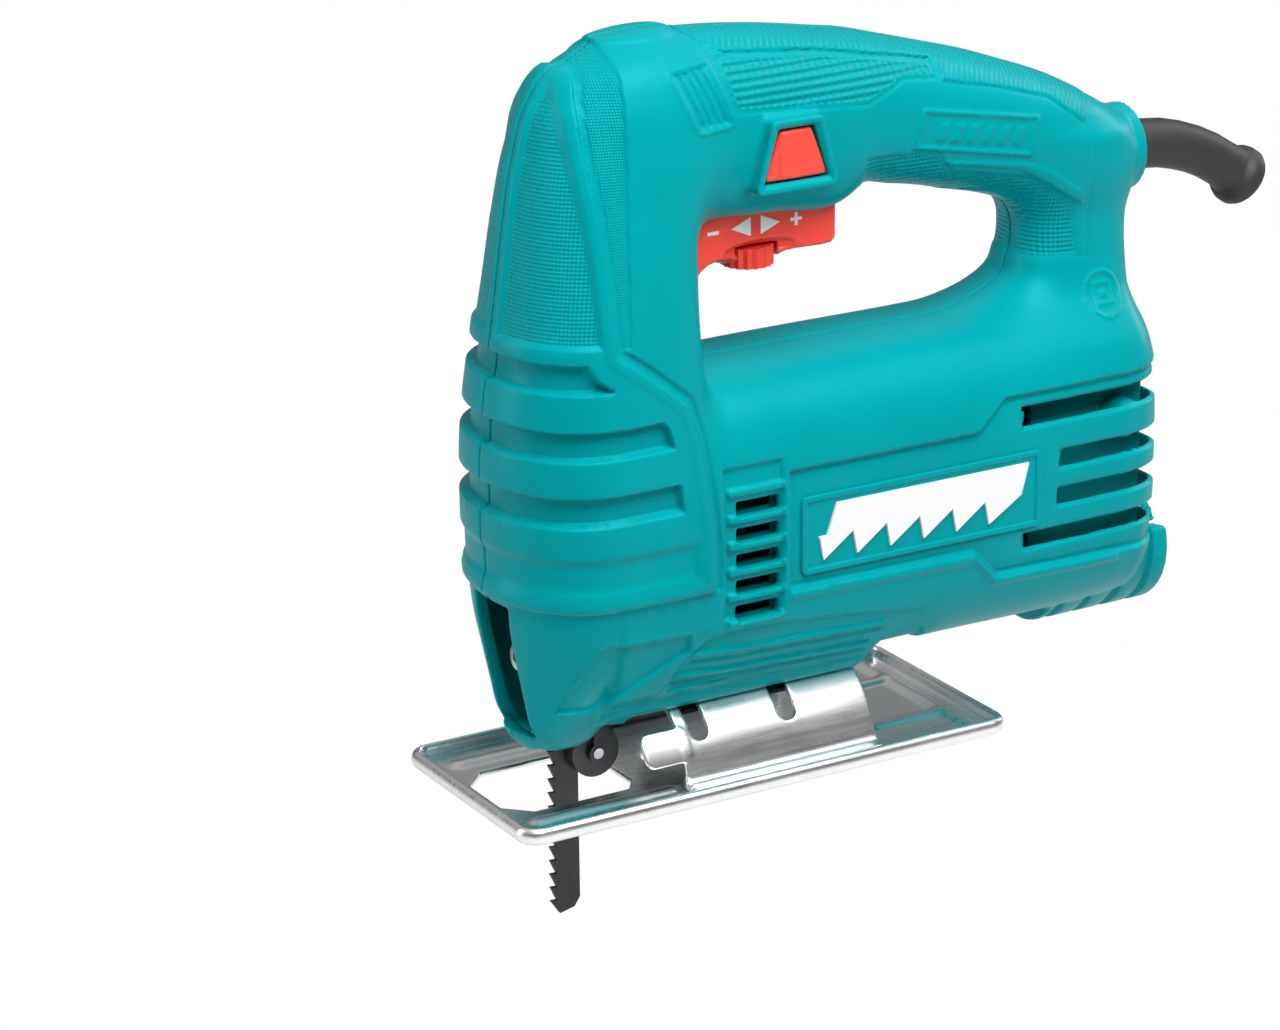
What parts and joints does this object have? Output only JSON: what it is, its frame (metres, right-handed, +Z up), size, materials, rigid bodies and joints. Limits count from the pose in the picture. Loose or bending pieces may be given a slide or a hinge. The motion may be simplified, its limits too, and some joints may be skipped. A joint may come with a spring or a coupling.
{
  "type": "jigsaw power tool",
  "caption": "Corded jigsaw: teal moulded shells with a closed top handle, red trigger and lock button, tilting pressed steel shoe, reciprocating blade and grooved guide roller.",
  "frame": {"origin": "centre of the flat underside of the shoe, on the bevel axis", "axes": "+Z up, out of the work towards the handle; -X the cutting direction, so +X is the rear; -Y the operator's left side"},
  "size_m": [0.2381, 0.064, 0.2206],
  "materials": {
    "teal_shell": "moulded glass-filled polyamide, satin",
    "red_plastic": "moulded, satin gloss",
    "black_plastic": "moulded, matte",
    "black_rubber": "soft, matte",
    "white_plastic": "dipped",
    "pressed_steel": "zinc plated sheet",
    "black_screw_steel": "black oxide",
    "bright_steel": "ground",
    "blade_steel": "blued",
    "laminations": "stacked sheet, varnished",
    "copper_winding": "enamelled copper",
    "die_cast": "die cast",
    "brass": "plain",
    "carbon": "pressed carbon",
    "felt": "felt ring"
  },
  "bodies": {
    "base": {"shoe": "pressed_steel", "bevel_bracket": "pressed_steel"},
    "housing": {"housing_left": "teal_shell", "housing_right": "teal_shell", "shell_screw_1": "black_screw_steel", "shell_screw_2": "black_screw_steel", "shell_screw_3": "black_screw_steel", "shell_screw_4": "black_screw_steel", "shell_screw_5": "black_screw_steel", "shell_screw_6": "black_screw_steel", "shell_screw_7": "black_screw_steel", "shell_screw_8": "black_screw_steel", "name_plate_left": "teal_shell", "name_plate_right": "teal_shell", "bevel_clamp_plate": "black_screw_steel", "bevel_screw_1": "black_screw_steel", "bevel_screw_2": "black_screw_steel", "field_core": "laminations", "field_coil_upper": "copper_winding", "field_coil_lower": "copper_winding", "front_bearing": "bright_steel", "rear_bearing": "bright_steel", "rear_bearing_sleeve": "black_rubber", "brush_holder_left": "brass", "brush_holder_right": "brass", "carbon_brush_left": "carbon", "carbon_brush_right": "carbon", "gear_plate": "die_cast", "crank_axle": "bright_steel", "upper_bush": "brass", "lower_bush": "brass", "felt_seal": "felt", "roller_fork": "black_screw_steel", "roller_pin": "bright_steel", "trigger_spring": "bright_steel", "switch_body": "black_plastic", "lock_spring": "bright_steel", "strain_relief": "black_rubber", "cord_clamp": "black_plastic", "cord_clamp_screw_1": "bright_steel", "cord_clamp_screw_2": "bright_steel", "dust_tube": "black_plastic", "capacitor": "white_plastic"},
    "rotor": {"rotor_shaft": "bright_steel", "armature_core": "laminations", "armature_winding_front": "copper_winding", "armature_winding_rear": "copper_winding", "commutator": "copper_winding", "cooling_fan": "black_plastic"},
    "crank": {"crank_gear": "bright_steel"},
    "plunger_set": {"plunger": "bright_steel", "blade_clamp": "blade_steel", "clamp_screw": "bright_steel", "blade": "blade_steel"},
    "trigger_body": {"trigger": "red_plastic"},
    "dial": {"speed_dial": "red_plastic"},
    "lock": {"lock_button": "red_plastic"},
    "roller": {"guide_roller": "blade_steel"}
  },
  "joints": [
    {"name": "bevel_tilt", "type": "hinge", "parent": "base", "child": "housing", "pos_m": [0, 0, 0], "axis": [1, 0, 0], "range_deg": [-45, 45]},
    {"name": "rotor_spin", "type": "hinge", "parent": "housing", "child": "rotor", "pos_m": [0.035, 0, 0.064], "axis": [1, 0, 0], "continuous": true},
    {"name": "crank_turn", "type": "hinge", "parent": "housing", "child": "crank", "pos_m": [-0.0223, 0, 0.09], "axis": [1, 0, 0], "continuous": true},
    {"name": "plunger_stroke", "type": "slide", "parent": "housing", "child": "plunger_set", "axis": [0, 0, 1], "range_m": [-0.009, 0.009]},
    {"name": "trigger_pull", "type": "slide", "parent": "housing", "child": "trigger_body", "axis": [0, 0, 1], "range_m": [0, 0.006], "stiffness_N_per_m": 600, "springref_m": -0.002, "deforming": ["trigger_spring"]},
    {"name": "dial_turn", "type": "hinge", "parent": "trigger_body", "child": "dial", "pos_m": [0.0105, -0.0015, 0.1285], "axis": [0, 0, 1], "range_deg": [-150, 150]},
    {"name": "lock_press", "type": "slide", "parent": "housing", "child": "lock", "axis": [0, 1, 0], "range_m": [0, 0.0035], "stiffness_N_per_m": 500, "springref_m": -0.002, "deforming": ["lock_spring"]},
    {"name": "roller_spin", "type": "hinge", "parent": "housing", "child": "roller", "pos_m": [-0.0357, 0, 0.0086], "axis": [0, 1, 0], "continuous": true}
  ],
  "couplings": [
    {"joint": "crank_turn", "follows": "rotor_spin", "ratio": -0.18182}
  ]
}
